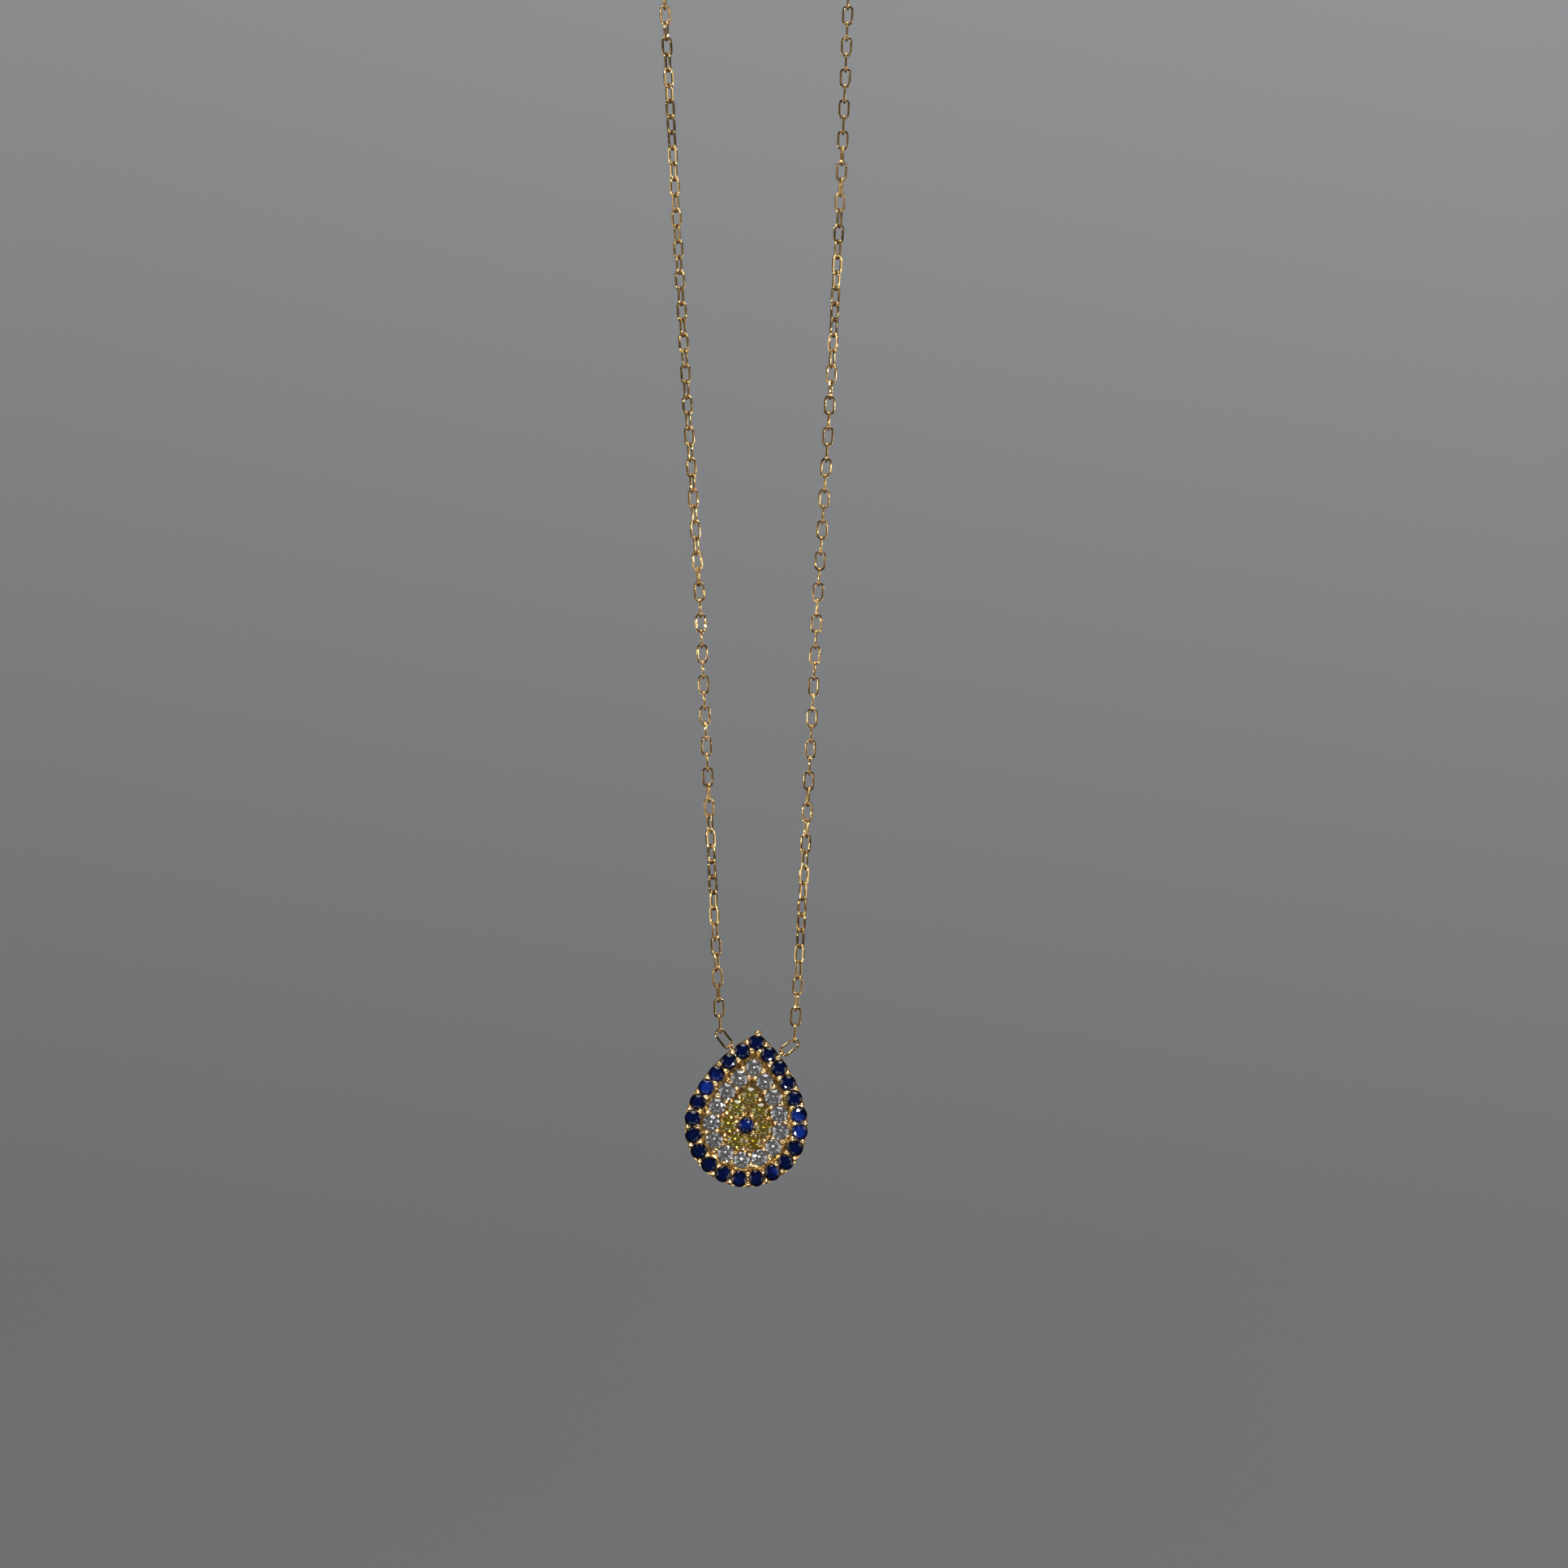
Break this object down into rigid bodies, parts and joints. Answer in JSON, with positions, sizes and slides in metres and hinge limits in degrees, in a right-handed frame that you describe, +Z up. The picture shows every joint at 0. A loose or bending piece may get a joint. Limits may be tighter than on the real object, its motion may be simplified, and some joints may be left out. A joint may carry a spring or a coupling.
{
  "type": "pendant necklace",
  "caption": "Teardrop evil-eye pendant paved with small round stones, hung by two lugs from a fine gold cable chain with a spring-ring clasp.",
  "frame": {"origin": "centre of the peg that the chain hangs over, in the plane of the two strands", "axes": "+Z up, +X to the right seen from the front, +Y away from the viewer and along the peg; the stones face -Y"},
  "size_m": [0.0152, 0.0055, 0.1024],
  "materials": {
    "gold": "polished yellow gold",
    "blue_stone": "faceted dark blue stone",
    "clear_stone": "faceted clear stone",
    "yellow_stone": "faceted yellow stone",
    "spring_steel": "plain spring wire"
  },
  "bodies": {
    "root": {"clasp_housing": "gold", "clasp_spring": "spring_steel", "clasp_eyelet": "gold", "jump_ring": "gold", "end_ring": "gold", "left_chain_top": "gold", "right_chain_top": "gold"},
    "trigger": {"clasp_trigger": "gold"},
    "left_upper": {"left_chain_upper": "gold"},
    "right_upper": {"right_chain_upper": "gold"},
    "left_lower": {"left_chain_lower": "gold", "left_end_link": "gold"},
    "right_lower": {"right_chain_lower": "gold", "right_end_link": "gold"},
    "pendant": {"setting_plate": "gold", "rim_stones_blue": "blue_stone", "ring_stones_white": "clear_stone", "ring_stones_yellow": "yellow_stone", "centre_stone_blue": "blue_stone", "left_lug": "gold", "right_lug": "gold"}
  },
  "joints": [
    {"name": "left_strand_swing", "type": "hinge", "parent": "root", "child": "left_upper", "pos_m": [-0.0072, 0, -0.0001], "axis": [1, 0, 0], "range_deg": [-35, 35]},
    {"name": "right_strand_swing", "type": "hinge", "parent": "root", "child": "right_upper", "pos_m": [0.0072, 0, -0.0001], "axis": [1, 0, 0], "range_deg": [-35, 35]},
    {"name": "left_strand_bend", "type": "hinge", "parent": "left_upper", "child": "left_lower", "pos_m": [-0.00432, 0, -0.0493], "axis": [1, 0, 0], "range_deg": [-50, 50]},
    {"name": "right_strand_bend", "type": "hinge", "parent": "right_upper", "child": "right_lower", "pos_m": [0.00474, 0, -0.0493], "axis": [1, 0, 0], "range_deg": [-50, 50]},
    {"name": "pendant_swing", "type": "hinge", "parent": "left_lower", "child": "pendant", "pos_m": [-0.00001, 0, -0.08389], "axis": [0.9919, 0, -0.1271], "range_deg": [-55, 55]},
    {"name": "clasp_trigger_slide", "type": "hinge", "parent": "root", "child": "trigger", "pos_m": [0, 0, 0.00725], "axis": [0, 0, 1], "range_deg": [0, 50], "stiffness_Nm_per_rad": 0.0012, "springref_deg": -22.92}
  ],
  "couplings": [
    {"joint": "right_strand_swing", "follows": "left_strand_swing", "ratio": 1},
    {"joint": "right_strand_bend", "follows": "left_strand_bend", "ratio": 1}
  ]
}
